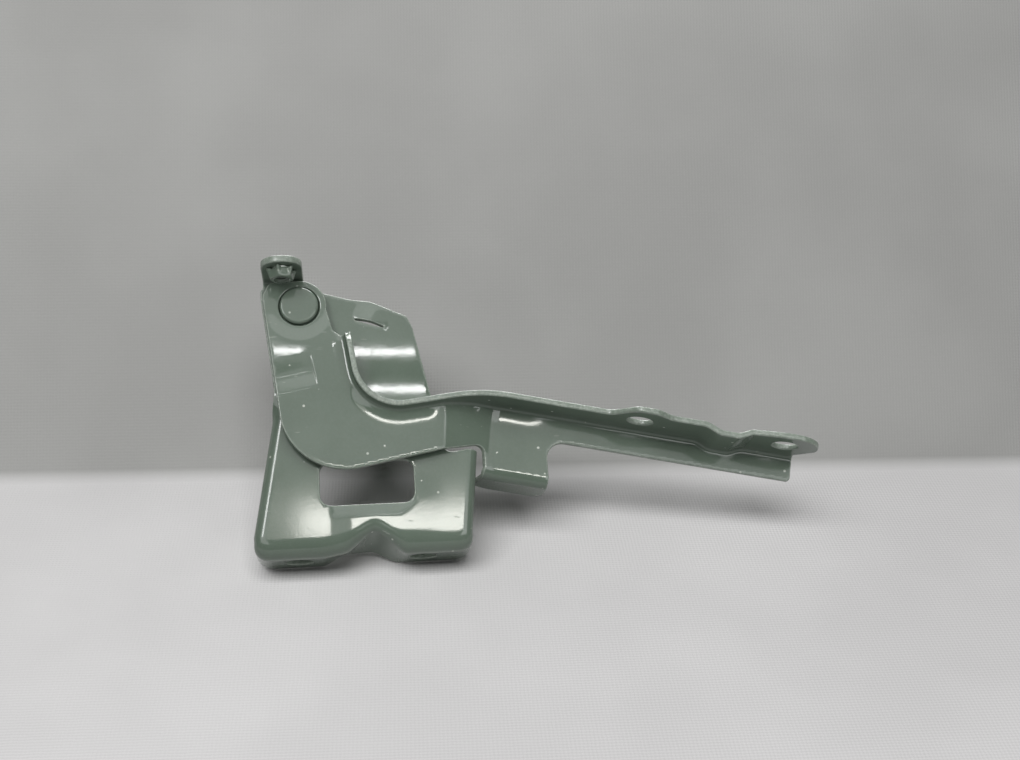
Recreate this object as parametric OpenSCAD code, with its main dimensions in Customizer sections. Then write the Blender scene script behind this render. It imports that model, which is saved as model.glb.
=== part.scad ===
// Gooseneck bonnet hinge: a pressed body bracket and a pressed bonnet arm on one riveted pivot.
// X runs along the arm towards the front of the bonnet, Z is up, and the hinge is seen along +Y.
// The origin is midway between the two body bolts, on the underside of the base flange.

/* [Sheet] */
// Thickness of the bracket's sheet
bracket_t = 3; // [2.5:0.1:3.5]
// Thickness of the arm's sheet
arm_t = 2.5; // [2:0.1:3]
// Gap between the bracket plate and the arm's web
web_gap = 3.2; // [2.8:0.1:4]

/* [Bracket base] */
// Width of the base over both side walls
base_w = 92; // [87:1:98]
// Distance between the two body bolts
bolt_pitch = 52; // [46:1:58]
// Diameter of the body bolt holes
bolt_d = 11; // [8:0.5:12]
// Distance of the body bolts behind the plate's front face
bolt_setback = 13.5; // [13:0.5:16]
// Depth of the base flange behind the plate's front face
flange_depth = 26; // [24:0.5:30]
// Outer bend radius of the base flange
base_bend_r = 7; // [5:0.5:8]
// Outer bend radius of the side walls
side_bend_r = 4.5; // [4:0.1:6]
// Depth of the side walls
wall_depth = 8.5; // [7:0.5:10]
// Lean of the left wall towards the arm, in degrees
left_lean = 10; // [8:0.5:12]
// Lean of the right wall towards the arm, in degrees
right_lean = 6.5; // [4:0.5:8]
// Radius of the two drawn corners at the feet
foot_r = 6.5; // [5:0.5:8]
// Height of the left wall
left_wall_h = 67; // [62:1:69]
// Length over which the left wall runs out at its top
left_wall_run = 26; // [20:1:28]
// Height of the column at the right wall
column_h = 43; // [39:0.5:43.5]
// Radius along the ridge of the pressed gusset between the feet
gusset_r = 6; // [4:0.5:8]
// Slope of the gusset's flanks, in degrees
gusset_slope = 45; // [42:1:52]
// Turn of the gusset off the plate's normal, in degrees
gusset_turn = 11.5; // [0:0.5:14]
// Height of the gusset on the plate
gusset_h = 14; // [12:0.5:16]
// Height of the gusset at the rear edge of the flange
gusset_rear_h = 5.5; // [4:0.5:7]
// Distance of the gusset to the right of the centre, at the plate
gusset_x = 5.9; // [3:0.1:7]

/* [Bracket window] */
// Width of the window
window_w = 39.5; // [34:0.5:42]
// Height of the window
window_h = 18.5; // [14:0.5:20]
// Height of the window's lower edge above the base
window_z = 21; // [20:0.5:24]
// Distance of the window's centre to the right of the centre
window_x = 3.3; // [1:0.1:5]
// Corner radius of the window
window_r = 4.5; // [3:0.5:7]

/* [Bracket head] */
// Distance of the pivot to the left of the centre
pivot_back = 22.8; // [20:0.1:25]
// Height of the pivot above the base
pivot_h = 108; // [104:0.5:112]
// Width of the top tab
tab_w = 17.5; // [16:0.5:20]
// Reach of the top tab in front of the plate
tab_reach = 24.5; // [22:0.5:28]
// Height of the tab's underside above the pivot
tab_rise = 13; // [12.8:0.1:15]
// Inner bend radius of the tab
tab_bend_r = 2.5; // [1.5:0.5:3]
// Distance of the tab's centre to the left of the pivot
tab_back = 6.7; // [5:0.1:8]
// Reach of the wing to the right of the pivot
wing_reach = 47.5; // [44:0.5:50]
// Drop of the wing's corner below the pivot
wing_drop = 5.5; // [4:0.5:8]
// Width of the bracket's neck to the right of the pivot
neck_reach = 56; // [53:0.5:58]
// Height of the lanced stop above the plate
stop_h = 2.3; // [2:0.1:2.5]
// Angle of the stop below the horizontal through the pivot
stop_angle = 12.5; // [10:0.5:14]
// Turn of the stop off its radius, in degrees
stop_skew = 5; // [0:0.5:6]
// Length over which the stop runs out into the plate
stop_run = 6; // [4:0.5:7]
// Inner radius of the stop and of the dart that meets it
stop_r = 24; // [22:0.5:26]
// Length of the stop along its radius
stop_len = 13; // [10:0.5:14]

/* [Arm] */
// Inner bend radius of the arm's flange and lip
arm_bend_r = 2; // [1.5:0.1:2.5]
// Reach of the flange's rim in front of the bracket plate
rim_reach = 11.2; // [10.5:0.1:13]
// Radius of the head round the pivot
head_r = 11.7; // [11:0.1:11.8]
// Width of the head to the left of the pivot
head_left = 15.6; // [14:0.1:17]
// Radius of the gooseneck along the flange's outer face
neck_r = 18; // [16:0.5:20]
// Distance of the gooseneck's centre to the right of the pivot
neck_x = 41.8; // [40:0.1:44]
// Distance of the gooseneck's centre below the pivot
neck_z = 27.4; // [25:0.1:29]
// Straight length of the flange above the gooseneck
rise_len = 17; // [14:0.5:18]
// Lean of the flange above the gooseneck, in degrees
rise_lean = 8.5; // [6:0.5:10]
// Radius of the heel round the outside of the gooseneck
heel_r = 28; // [25:0.5:30]
// Distance of the heel's centre to the right of the pivot
heel_x = 18.5; // [17:0.5:20]
// Distance of the heel's centre below the pivot
heel_z = 45; // [43:0.5:46]
// Lean of the arm's left edge, in degrees
back_lean = 6.5; // [5:0.5:8]
// Rise of the arm's lower edge after the heel, in degrees
heel_rise = 10.5; // [9:0.5:12]
// Rise of the flange between gooseneck and crown, in degrees
run_rise = 6.7; // [5:0.1:8]
// Fall of the flange beyond the crown, in degrees
arm_fall = 12.4; // [11:0.2:14]
// Distance of the crown to the right of the pivot
crown_x = 76.2; // [74:0.1:79]
// Radius of the crown along the flange's outer face
crown_r = 75; // [50:1:85]
// Distance of the joggle's start to the right of the pivot
joggle_x = 58; // [57:0.1:59]
// Length of the joggle
joggle_len = 22; // [20:0.5:24]
// Depth by which the joggle sets the web back
joggle_depth = 11; // [10:0.1:12]
// Lean of the joggle's left line, in degrees
joggle_lean = 4.6; // [3:0.1:6]
// Lean of the joggle's right line, in degrees
joggle_right_lean = 9.6; // [6:0.1:11]
// Angle between the arm's stop dart and the bracket's stop
dart_angle = 67; // [63:1:70]

/* [Catch block] */
// Distance of the block's left edge to the right of the pivot
block_x = 76.8; // [76:0.1:79]
// Width of the block
block_w = 27.2; // [24:0.1:31]
// Depth of the block below the flange's outer face
block_h = 30; // [27:0.5:32]
// Reach of the block's lip behind the bracket plate
lip_reach = 26; // [22:0.5:30]
// Corner radius of the lip, and of the fillet beside the block
block_r = 7.5; // [5:0.5:9]
// Slant of the lip's left end
lip_slant = 4; // [2:0.5:5]

/* [Bonnet flange] */
// Distance of the first bonnet bolt from the crown's corner, along the flange
first_bolt = 69; // [66:0.5:74]
// Distance between the two bonnet bolts
bonnet_pitch = 63.5; // [58:0.5:66]
// Diameter of the bonnet bolt holes
bonnet_d = 11; // [9:0.5:11.5]
// Distance of the bonnet bolts in front of the set-back web
bonnet_setback = 14.5; // [13:0.5:16]
// Depth of the first lobe in front of the set-back web
lobe_a = 28; // [25:0.5:30]
// Depth of the second lobe in front of the set-back web
lobe_b = 26; // [24:0.5:28]
// Depth of the flange between the lobes
waist = 23; // [21:0.5:24]
// Depth of the pressed swage between the lobes
swage_h = 2.7; // [1.5:0.1:3.5]
// Width of the web below the flange
web_w = 13.6; // [12:0.1:15]
// Distance of the web's end beyond the second bolt
tip_len = 7.5; // [7:0.5:9]
// Overhang of the flange beyond the web's end
tip_over = 7; // [5:0.5:8]
// Corner radius of the flange's tip
tip_r = 12; // [9:0.5:13]

/* [Pivot] */
// Diameter of the rivet's head
rivet_head_d = 16.5; // [14:0.5:18]
// Height of the rivet's head
rivet_head_h = 2.4; // [2:0.1:3]
// Diameter of the rivet's shoulder
shoulder_d = 8; // [7:0.1:9]
// Diameter of the rivet's tenon through the bracket
tenon_d = 6.5; // [5.5:0.1:6.6]
// Diameter of the rivet's formed tail
tail_d = 11; // [10:0.5:12]
// Height of the rivet's formed tail
tail_h = 2.4; // [2:0.1:3]
// Wall of the bush
bush_wall = 1; // [0.8:0.1:1.2]
// Thickness of the bush's flange
bush_flange_t = 1; // [0.8:0.1:1.2]
// Diameter of the bush's flange
bush_flange_d = 15; // [14:0.5:17]
// Thickness of the thrust washer
thrust_t = 0.8; // [0.5:0.1:1]
// Diameter of the thrust washer
thrust_d = 15; // [14:0.5:17]
// Thickness of the tail washer
tail_washer_t = 1.2; // [1:0.1:1.6]
// Diameter of the tail washer
tail_washer_d = 15; // [14:0.5:18]
// Radial running clearance on the shoulder
running_play = 0.05; // [0.02:0.01:0.08]
// Axial play of the arm on the pivot
axial_play = 0.05; // [0.03:0.01:0.1]
// Radius of the dished boss round the pivot
boss_r = 10.3; // [9.5:0.1:10.5]

/* [Weld nut] */
// Width of the nut across its flats
nut_af = 10; // [9:0.5:11]
// Height of the nut
nut_h = 5; // [4:0.5:6]
// Bore of the nut's thread
nut_bore = 5; // [4.2:0.1:5.2]
// Clearance hole in the tab
tab_hole_d = 7; // [6.2:0.1:7.5]
// Distance of the nut's axis behind the tab's front end
nut_inset = 8.3; // [7.5:0.1:9.5]
// Height of the weld projections on the nut's corners
weld_h = 0.6; // [0.4:0.1:0.8]

/* [Hidden] */
$fn = 64;
paint = "#6f7a70";
far = 300;
edge_r = 2.5;

pivot = [-pivot_back, pivot_h];
nut_reach = tab_reach - nut_inset;
shoulder_r = shoulder_d / 2;
bush_bore_r = shoulder_r + running_play;
bush_r = bush_bore_r + bush_wall;
boss_back = -axial_play - bush_flange_t;
boss_front = boss_back - arm_t;
head_seat = boss_front - axial_play - thrust_t;
web_back = -web_gap;
web_front = web_back - arm_t;
boss_depth = boss_back - web_back;

// Smooth step from 0 at a to 1 at b.
function step(a, b, x) = let (t = min(1, max(0, (x - a) / (b - a)))) t * t * (3 - 2 * t);
// Unit vector at an angle.
function dir(a) = [cos(a), sin(a)];

// Turns a drawing in X and Z into a plate that reaches from y0 to y1.
module plate(y0, y1) {
    translate([0, y1, 0])
        rotate([90, 0, 0])
            linear_extrude(y1 - y0)
                children();
}

// Carries a drawing in Y and Z along X.
module along_x(length) {
    rotate([90, 0, 90])
        linear_extrude(length, center = true)
            children();
}

// Moves a child from the plate's frame, with y = 0 on its front face, to the hinge's own frame.
module at_plate() {
    translate([0, -bolt_setback, 0])
        children();
}

// Rounds the outer corners of a drawing.
module rounded(r) {
    offset(r = r)
        offset(delta = -r)
            children();
}

// Rounds the inner corners of a drawing.
module filleted(r) {
    offset(r = -r)
        offset(delta = r)
            children();
}

// A corner of two walls moved inwards by inset, with its edge rounded to the radius that is left.
module wall_corner(r, inset) {
    q = max(r - inset, 0.2);
    translate([inset + q, inset])
        square(far);
    translate([inset, inset + q])
        square(far);
    translate([inset + q, inset + q])
        circle(q);
}

// The pan of the bracket as a full body, moved inwards by inset.
module pan(inset) {
    intersection() {
        along_x(far)
            wall_corner(base_bend_r, inset);
        translate([-base_w / 2, 0, 0])
            rotate([0, left_lean, 0])
                linear_extrude(far, center = true)
                    wall_corner(side_bend_r, inset);
        translate([base_w / 2, 0, 0])
            rotate([0, right_lean, 0])
                mirror([1, 0, 0])
                    linear_extrude(far, center = true)
                        wall_corner(side_bend_r, inset);
        plate(-1, flange_depth)
            offset(delta = -inset)
                rounded(foot_r)
                    pan_front();
    }
}

// Front view of the pan between its leaning walls.
module pan_front() {
    top = pivot_h;
    polygon([
        [-base_w / 2, 0],
        [base_w / 2, 0],
        [base_w / 2 + top * tan(right_lean), top],
        [-base_w / 2 + top * tan(left_lean), top]
    ]);
}

// The gusset pressed in between the feet: a rounded ridge that falls towards the rear.
module gusset(inset) {
    fall = atan((gusset_h - gusset_rear_h) / flange_depth);
    ridge = gusset_r / cos(gusset_slope) - gusset_r;
    translate([gusset_x, 0, gusset_h])
        rotate([-90 - fall, 0, gusset_turn])
            linear_extrude(4 * flange_depth, center = true)
                offset(r = inset)
                    rounded(gusset_r)
                        translate([0, -ridge])
                            polygon([[0, 0], far * dir(gusset_slope), far * dir(180 - gusset_slope)]);
}

// Side view of what stays of the walls: deep at the feet, and run out at the top of the left wall.
module wall_side() {
    sweep = flange_depth - wall_depth;
    foot = base_bend_r;
    polygon(concat(
        [[-1, -1], [flange_depth, -1]],
        [for (a = [270 : -10 : 180]) [flange_depth + sweep * cos(a), foot + sweep + sweep * sin(a)]],
        [[wall_depth, left_wall_h - left_wall_run], [bracket_t, left_wall_h], [-1, left_wall_h]]
    ));
}

// Height of the column's top edge at a place along X, just below the arm's lower edge.
function column_top(x) = column_h + tan(heel_rise) * (x - base_w / 2);

// Front view of the part of the bracket that has walls.
module pan_area() {
    neck = pivot[0] + neck_reach;
    filleted(2 * edge_r)
        polygon([
            [-far / 2, -1],
            [base_w, -1],
            [base_w, column_top(base_w)],
            [neck + 3, column_top(neck + 3)],
            [neck, left_wall_h],
            [-far / 2, left_wall_h]
        ]);
}

// Front view of the flat upper plate: neck, wing and the root of the tab.
module upper_plate() {
    neck = pivot[0] + neck_reach;
    wall = -base_w / 2 + left_wall_h * tan(left_lean);
    tab_x = pivot[0] - tab_back;
    tab_root = pivot_h + tab_rise - tab_bend_r;
    back = pivot[0] - head_left;
    rounded(edge_r)
        polygon([
            [tab_x + tab_w / 2, tab_root],
            pivot + [0.46 * wing_reach, 0.33 * tab_rise],
            pivot + [0.65 * wing_reach, 0.23 * tab_rise],
            pivot + [wing_reach - edge_r / 2, edge_r / 2 - wing_drop],
            pivot + [wing_reach + 1, -wing_drop - 4],
            [neck - 1, left_wall_h],
            [neck, (left_wall_h + column_top(neck)) / 2],
            [neck, column_top(neck) - 4],
            [wall + side_bend_r + 1, window_z + window_h],
            [wall + side_bend_r + 0.5, left_wall_h - 1],
            [wall + 0.2, left_wall_h - 1],
            [back + 4, pivot_h - 36],
            [back - 1, pivot_h + 5],
            [back - 1, tab_root],
        ]);
    translate([tab_x - tab_w / 2, pivot_h])
        square([tab_w, tab_root - pivot_h]);
}

// The tab at the top: a bend towards the front, and a flat with a round end.
module top_tab() {
    tab_x = pivot[0] - tab_back;
    under = pivot_h + tab_rise;
    end_r = tab_w / 2 - 0.75;
    translate([tab_x, -tab_bend_r, under - tab_bend_r])
        along_x(tab_w)
            intersection() {
                difference() {
                    circle(tab_bend_r + bracket_t);
                    circle(tab_bend_r);
                }
                square(far);
            }
    translate([tab_x, 0, under])
        linear_extrude(bracket_t)
            rounded(end_r)
                translate([-tab_w / 2, -tab_reach])
                    square([tab_w, tab_reach - tab_bend_r + end_r]);
}

// The lanced stop: a wedge with its full height on the lower face, run out into the plate above it.
module stop_wedge() {
    translate([pivot[0], 0, pivot[1]])
        rotate([0, stop_angle, 0])
            translate([stop_r + stop_len / 2, 0, 0])
                rotate([0, stop_skew, 0])
                    along_x(stop_len)
                        polygon([[0, 0], [-stop_h, 0], [0, stop_run]]);
}

module body_bracket() {
    color(paint)
        at_plate()
            difference() {
                union() {
                    intersection() {
                        difference() {
                            difference() {
                                pan(0);
                                gusset(0);
                            }
                            difference() {
                                pan(bracket_t);
                                gusset(bracket_t);
                            }
                        }
                        plate(-1, flange_depth + 1)
                            pan_area();
                        union() {
                            along_x(far)
                                wall_side();
                            translate([-bolt_pitch / 2, 0, 0])
                                cube([bolt_pitch, flange_depth, gusset_h + bracket_t]);
                        }
                    }
                    plate(0, bracket_t)
                        upper_plate();
                    top_tab();
                    stop_wedge();
                }
                translate([0, bracket_t, 0])
                    stop_wedge();
                plate(-1, bracket_t + 1)
                    translate([window_x - window_w / 2, window_z])
                        rounded(window_r)
                            square([window_w, window_h]);
                for (side = [-1, 1])
                    translate([side * bolt_pitch / 2, bolt_setback, -1])
                        cylinder(h = base_bend_r + bracket_t, d = bolt_d);
                translate([pivot[0], -far / 2, pivot[1]])
                    rotate([-90, 0, 0])
                        cylinder(h = far, d = tenon_d);
                translate([pivot[0] - tab_back, -nut_reach, pivot_h])
                    cylinder(h = far, d = tab_hole_d);
            }
}

// Path of the flange's outer face, from the top of the rise to the tip.
bend_outer = arm_bend_r + arm_t;
neck_c = pivot + [neck_x, -neck_z];
neck_from = 180 + rise_lean;
neck_to = 270 + run_rise;
rise_foot = neck_c + neck_r * dir(neck_from);
run_foot = neck_c + neck_r * dir(neck_to);
crown_turn = run_rise + arm_fall;
crown_tangent = crown_r * tan(crown_turn / 2);
crown_corner = run_foot + (pivot[0] + crown_x - run_foot[0]) / cos(run_rise) * dir(run_rise);
run_len = norm(crown_corner - run_foot) - crown_tangent;
neck_len = neck_r * (neck_to - neck_from) * PI / 180;
crown_len = crown_r * crown_turn * PI / 180;
crown_from = crown_corner - crown_tangent * dir(run_rise);
crown_c = crown_from + crown_r * dir(run_rise - 90);
arm_from = crown_corner + crown_tangent * dir(-arm_fall);
s_neck = rise_len;
s_run = s_neck + neck_len;
s_crown = s_run + run_len;
s_arm = s_crown + crown_len;
bolt_a = s_arm + first_bolt - crown_tangent;
bolt_b = bolt_a + bonnet_pitch;
s_end = bolt_b + tip_len + tip_over;
arm_front = web_front + joggle_depth;

// Heading of the path at arc length s.
function heading(s) =
    s < s_neck ? rise_lean - 90
    : s < s_run ? neck_from + (s - s_neck) / neck_r * 180 / PI - 270
    : s < s_crown ? run_rise
    : s < s_arm ? run_rise - (s - s_crown) / crown_r * 180 / PI
    : -arm_fall;

// Point of the path at arc length s, before the swage.
function path(s) =
    s < s_neck ? rise_foot - (s_neck - s) * dir(rise_lean - 90)
    : s < s_run ? neck_c + neck_r * dir(heading(s) + 270)
    : s < s_crown ? run_foot + (s - s_run) * dir(run_rise)
    : s < s_arm ? crown_c + crown_r * dir(heading(s) + 90)
    : arm_from + (s - s_arm) * dir(-arm_fall);

// Depth of the swage at arc length s.
function swage(s) = swage_h * (step(bolt_a + 26, bolt_a + 35, s) - step(bolt_a + 41, bolt_a + 49, s));

// Depth of the flange in front of the set-back web at arc length s.
function reach(s) = let (run = rim_reach + arm_front)
    run
    + (lobe_a - run) * step(bolt_a - 15, bolt_a - 1, s)
    - (lobe_a - waist) * step(bolt_a + 4, bolt_a + 14, s)
    + (lobe_b - waist) * step(bolt_a + 46, bolt_b, s);

// Place of the rim along Y: it rises from the web at the top of the flange.
function rim_y(s) = let (top = web_front - arm_bend_r - 0.5)
    s < s_arm ? top + (-rim_reach - top) * step(0, 6, s) : arm_front - reach(s);

// How far the joggle sets the web back at a point of the front view.
function joggle(p) = let (
        h = p[1] - column_h,
        x = p[0] - pivot[0] - joggle_x - tan(joggle_lean) * h,
        run = joggle_len + (tan(joggle_right_lean) - tan(joggle_lean)) * h
    )
    joggle_depth * (0.7 * min(1, max(0, x / run)) + 0.3 * step(0, run, x));

// Lower edge of the arm at a place along X, right of the heel.
back_c = pivot + [heel_x, -heel_z];
heel_end = back_c + heel_r * dir(270 + heel_rise);
back_foot = back_c + heel_r * dir(180 + back_lean);
block_left = pivot[0] + block_x;
block_right = block_left + block_w;
function flange_z(x) = crown_corner[1] - tan(arm_fall) * (x - crown_corner[0]);
function heel_edge(x) = heel_end[1] + tan(heel_rise) * (x - heel_end[0]);
function block_edge(x) = flange_z(x) - block_h / cos(arm_fall);
function arm_edge(x) = flange_z(x) - web_w / cos(arm_fall);

// Stations along the arm: [arc length, point on the lower edge].
neck_steps = 14;
run_steps = 12;
block_steps = 10;
fillet_steps = 5;
arm_steps = 56;
notch_w = 0.6;
notch_h = 1.5;
notch_s = s_run + (block_left - notch_w - run_foot[0]) / cos(run_rise / 2);
block_s0 = notch_s + notch_w;
block_s1 = block_s0 + block_w;
fillet_s1 = block_s1 + block_r + 3;
back_top = back_foot + (pivot_h - 15 - back_foot[1]) / cos(back_lean) * dir(90 + back_lean);
fillet_top = block_right + block_r;
stations = concat(
    [for (i = [0 : 3]) let (k = i / 4) [k * s_neck, back_top + k * (back_foot - back_top)]],
    [for (i = [0 : neck_steps]) let (k = i / neck_steps)
        [s_neck + k * neck_len, back_c + heel_r * dir(180 + back_lean + k * (90 + heel_rise - back_lean))]],
    [for (i = [1 : run_steps]) let (k = i / run_steps,
            x = heel_end[0] + k * (block_left - notch_w - heel_end[0]))
        [s_run + k * (notch_s - s_run), [x, heel_edge(x) - notch_h * step(0.95, 1, k)]]],
    [for (i = [0 : block_steps]) let (k = i / block_steps, x = block_left + k * block_w)
        [block_s0 + k * block_w, [x, block_edge(x)]]],
    [for (i = [0 : fillet_steps]) let (k = i / fillet_steps, a = 180 - 90 * k)
        [block_s1 + 0.4 + k * (fillet_s1 - block_s1 - 0.4),
            [fillet_top + block_r * cos(a), arm_edge(fillet_top) - block_r + block_r * sin(a)]]],
    [for (i = [1 : arm_steps]) let (k = i / arm_steps, s = fillet_s1 + k * (s_end - fillet_s1),
            x = fillet_top + k * (path(s_end)[0] - fillet_top))
        [s, [x, arm_edge(x)]]]
);
block_first = 4 + neck_steps + 1 + run_steps;
block_last = block_first + block_steps;

bend_steps = 4;
web_rows = 3;
lip_steps = 3;
row_web = 2 + bend_steps;
row_edge = row_web + web_rows;
row_lip = row_edge + lip_steps + 1;

// Far edge of the block's lip, with its rounded corner.
function lip_end(x) = let (over = min(block_r, max(0, x - (block_right - block_r))))
    lip_reach - block_r + sqrt(block_r * block_r - over * over);

// A point of the arm's surface: row j of a station, on the front (side = 0) or the back (side = 1).
function arm_point(st, j, side) = let (
        s = st[0],
        out = dir(heading(s) - 90),
        p = path(s) + swage(s) * out,
        foot = p + bend_outer * out,
        y_web = web_front + joggle(foot),
        r = arm_bend_r + side * arm_t,
        turn = 90 * (j - 2) / bend_steps,
        in_flange = p + (1 - side) * arm_t * out,
        low = st[1],
        y_low = web_front + joggle(low),
        on_web = foot + (j - row_web) / web_rows * (low - foot),
        lip_turn = min(90, 90 * (j - row_edge) / lip_steps),
        lip_r = arm_bend_r + (1 - side) * arm_t,
        drop = dir(-arm_fall - 90),
        on_lip = low + lip_r * sin(lip_turn) * drop,
        slant = lip_slant * (1 - step(block_left, block_left + 8, low[0]))
    )
    j == 0 ? [in_flange[0], rim_y(s), in_flange[1]]
    : j == 1 ? [in_flange[0], (rim_y(s) + y_web - arm_bend_r) / 2, in_flange[1]]
    : j <= row_web ? let (q = p + (bend_outer - r * cos(turn)) * out)
        [q[0], y_web - arm_bend_r + r * sin(turn), q[1]]
    : j <= row_edge ? [on_web[0], web_front + joggle(on_web) + side * arm_t, on_web[1]]
    : j < row_lip ? [on_lip[0], y_low + bend_outer - lip_r * cos(lip_turn), on_lip[1]]
    : [on_lip[0] - slant, lip_end(low[0]), on_lip[1]];

// The arm's sheet as one loft: the section web, bend and flange carried along the path, and the block's lip.
module arm_loft() {
    n = len(stations) - 1;
    rows = row_lip + 1;
    back = (n + 1) * rows;
    function in_block(i) = i >= block_first && i < block_last;
    cells = concat(
        [for (i = [0 : n - 1], j = [0 : row_edge - 1]) [i, j]],
        [for (i = [block_first : block_last - 1], j = [row_edge : row_lip - 1]) [i, j]]
    );
    // Edges of the sheet, each with the sheet on its left.
    rims = concat(
        [for (i = [0 : n - 1]) [(i + 1) * rows, i * rows]],
        [for (i = [0 : n - 1]) let (j = in_block(i) ? row_lip : row_edge) [i * rows + j, (i + 1) * rows + j]],
        [for (j = [0 : row_edge - 1]) [j, j + 1]],
        [for (j = [0 : row_edge - 1]) [n * rows + j + 1, n * rows + j]],
        [for (j = [row_edge : row_lip - 1]) [block_first * rows + j, block_first * rows + j + 1]],
        [for (j = [row_edge : row_lip - 1]) [block_last * rows + j + 1, block_last * rows + j]]
    );
    polyhedron(
        points = concat(
            [for (st = stations, j = [0 : rows - 1]) arm_point(st, j, 0)],
            [for (st = stations, j = [0 : rows - 1]) arm_point(st, j, 1)]
        ),
        faces = concat(
            [for (c = cells) let (a = c[0] * rows + c[1]) [a, a + rows, a + 1]],
            [for (c = cells) let (a = c[0] * rows + c[1]) [a + 1, a + rows, a + rows + 1]],
            [for (c = cells) let (a = back + c[0] * rows + c[1]) [a, a + 1, a + rows]],
            [for (c = cells) let (a = back + c[0] * rows + c[1]) [a + 1, a + rows + 1, a + rows]],
            [for (e = rims) [e[0], e[1], e[1] + back]],
            [for (e = rims) [e[0], e[1] + back, e[0] + back]]
        )
    );
}

// Front view of the arm's head, from the flange's upper end to the top.
module head_front() {
    foot = path(3) + (bend_outer + 0.5) * dir(rise_lean - 180);
    top = path(0) + bend_outer * dir(rise_lean - 180);
    low = back_foot + (foot[1] - back_foot[1]) / cos(back_lean) * dir(90 + back_lean);
    high = pivot + [-head_left, 6];
    translate(pivot)
        circle(head_r);
    rounded(edge_r)
        polygon([
            foot, low, high, pivot + [-head_left + 3, 11], pivot + [0, head_r - 0.5], pivot,
        ]);
    filleted(edge_r)
        polygon([
            foot, low, pivot + [-head_left + 3, -8], pivot, pivot + [head_r - 0.15, 0],
            [pivot[0] + head_r + 2.4, top[1] + 2], top, foot,
        ]);
}

// Outline of the flange's tip from the second bolt on: a slanted end and the rounded lobe.
module tip_lobe() {
    over = tip_len + tip_over;
    polygon([
        [-far, 0], [tip_len, edge_r - bend_outer], [over, -tip_r],
        [over, tip_r - lobe_b], [-far, tip_r - lobe_b]
    ]);
    translate([over - tip_r, tip_r - lobe_b])
        circle(tip_r);
    translate([-far, -lobe_b - 0.5])
        square([far + over - tip_r, lobe_b]);
}

// End of the arm seen along the flange's normal: what lies beyond the rounded lobe and the web's end.
module tip_cut() {
    over = tip_len + tip_over;
    translate([path(bolt_b)[0], arm_front, path(bolt_b)[1]])
        rotate([0, arm_fall, 0])
            linear_extrude(far, center = true)
                difference() {
                    translate([over - tip_r, -lobe_b - 1])
                        square([far, lobe_b + far]);
                    filleted(edge_r)
                        union() {
                            translate([-far, -bend_outer])
                                square([far + tip_len, far]);
                            rounded(edge_r)
                                tip_lobe();
                        }
                }
}

// A dart on a radius from the pivot: a half pyramid that is deepest in the middle of its radial face.
module stop_dart() {
    translate([pivot[0], 0, pivot[1]])
        rotate([0, stop_angle + dart_angle, 0])
            polyhedron(
                points = [
                    [stop_r - 2, 0, 0], [stop_r + stop_len, 0, 0], [stop_r + stop_len / 2 - 1, stop_h, 0],
                    [stop_r + stop_len / 2 - 1, 0, -15]
                ],
                faces = [[0, 1, 2], [1, 3, 2], [3, 0, 2], [0, 3, 1]]
            );
}

module bonnet_arm() {
    color(paint)
        at_plate()
            difference() {
                union() {
                    difference() {
                        union() {
                            arm_loft();
                            plate(web_front, web_back)
                                head_front();
                        }
                        translate([pivot[0], web_front - 1, pivot[1]])
                            rotate([-90, 0, 0])
                                cylinder(h = boss_depth + 1, r = boss_r);
                        translate([0, web_front, 0])
                            stop_dart();
                    }
                    translate([pivot[0], boss_front, pivot[1]])
                        rotate([-90, 0, 0])
                            cylinder(h = arm_t, r = head_r - 0.2);
                    translate([0, web_back, 0])
                        stop_dart();
                }
                tip_cut();
                translate([pivot[0], -far / 2, pivot[1]])
                    rotate([-90, 0, 0])
                        cylinder(h = far, r = bush_r);
                for (s = [bolt_a, bolt_b])
                    translate([path(s)[0], arm_front - bonnet_setback, path(s)[1]])
                        rotate([0, arm_fall, 0])
                            cylinder(h = 4 * arm_t, d = bonnet_d, center = true);
            }
}

// Puts a turned piece, drawn with its axis along Z and its head down, on the pivot with z = 0 at y.
module on_pivot(y) {
    at_plate()
        translate([pivot[0], y, pivot[1]])
            rotate([-90, 0, 0])
                children();
}

module pivot_rivet() {
    tail_seat = bracket_t + tail_washer_t - head_seat;
    chamfer = 0.5;
    color(paint)
        on_pivot(head_seat)
            rotate_extrude()
                polygon([
                    [0, -rivet_head_h + 0.3], [rivet_head_d / 2 - 3, -rivet_head_h + 0.3],
                    [rivet_head_d / 2 - 2.5, -rivet_head_h],
                    [rivet_head_d / 2 - chamfer, -rivet_head_h], [rivet_head_d / 2, -rivet_head_h + chamfer],
                    [rivet_head_d / 2, 0], [shoulder_r, 0], [shoulder_r, -head_seat],
                    [tenon_d / 2, -head_seat], [tenon_d / 2, tail_seat], [tail_d / 2, tail_seat],
                    [tail_d / 2, tail_seat + tail_h / 2], [tail_d / 2 - 1.5, tail_seat + tail_h],
                    [0, tail_seat + tail_h]
                ]);
}

module ring(inner_r, outer_r, height) {
    rotate_extrude()
        translate([inner_r, 0])
            square([outer_r - inner_r, height]);
}

module pivot_bush() {
    color("#b08d57")
        on_pivot(boss_front) {
            ring(bush_bore_r, bush_r, arm_t + bush_flange_t / 2);
            translate([0, 0, arm_t])
                ring(bush_bore_r, bush_flange_d / 2, bush_flange_t);
        }
}

module thrust_washer() {
    color("silver")
        on_pivot(head_seat)
            ring(bush_bore_r, thrust_d / 2, thrust_t);
}

module tail_washer() {
    color(paint)
        on_pivot(bracket_t)
            ring(tenon_d / 2, tail_washer_d / 2, tail_washer_t);
}

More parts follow.
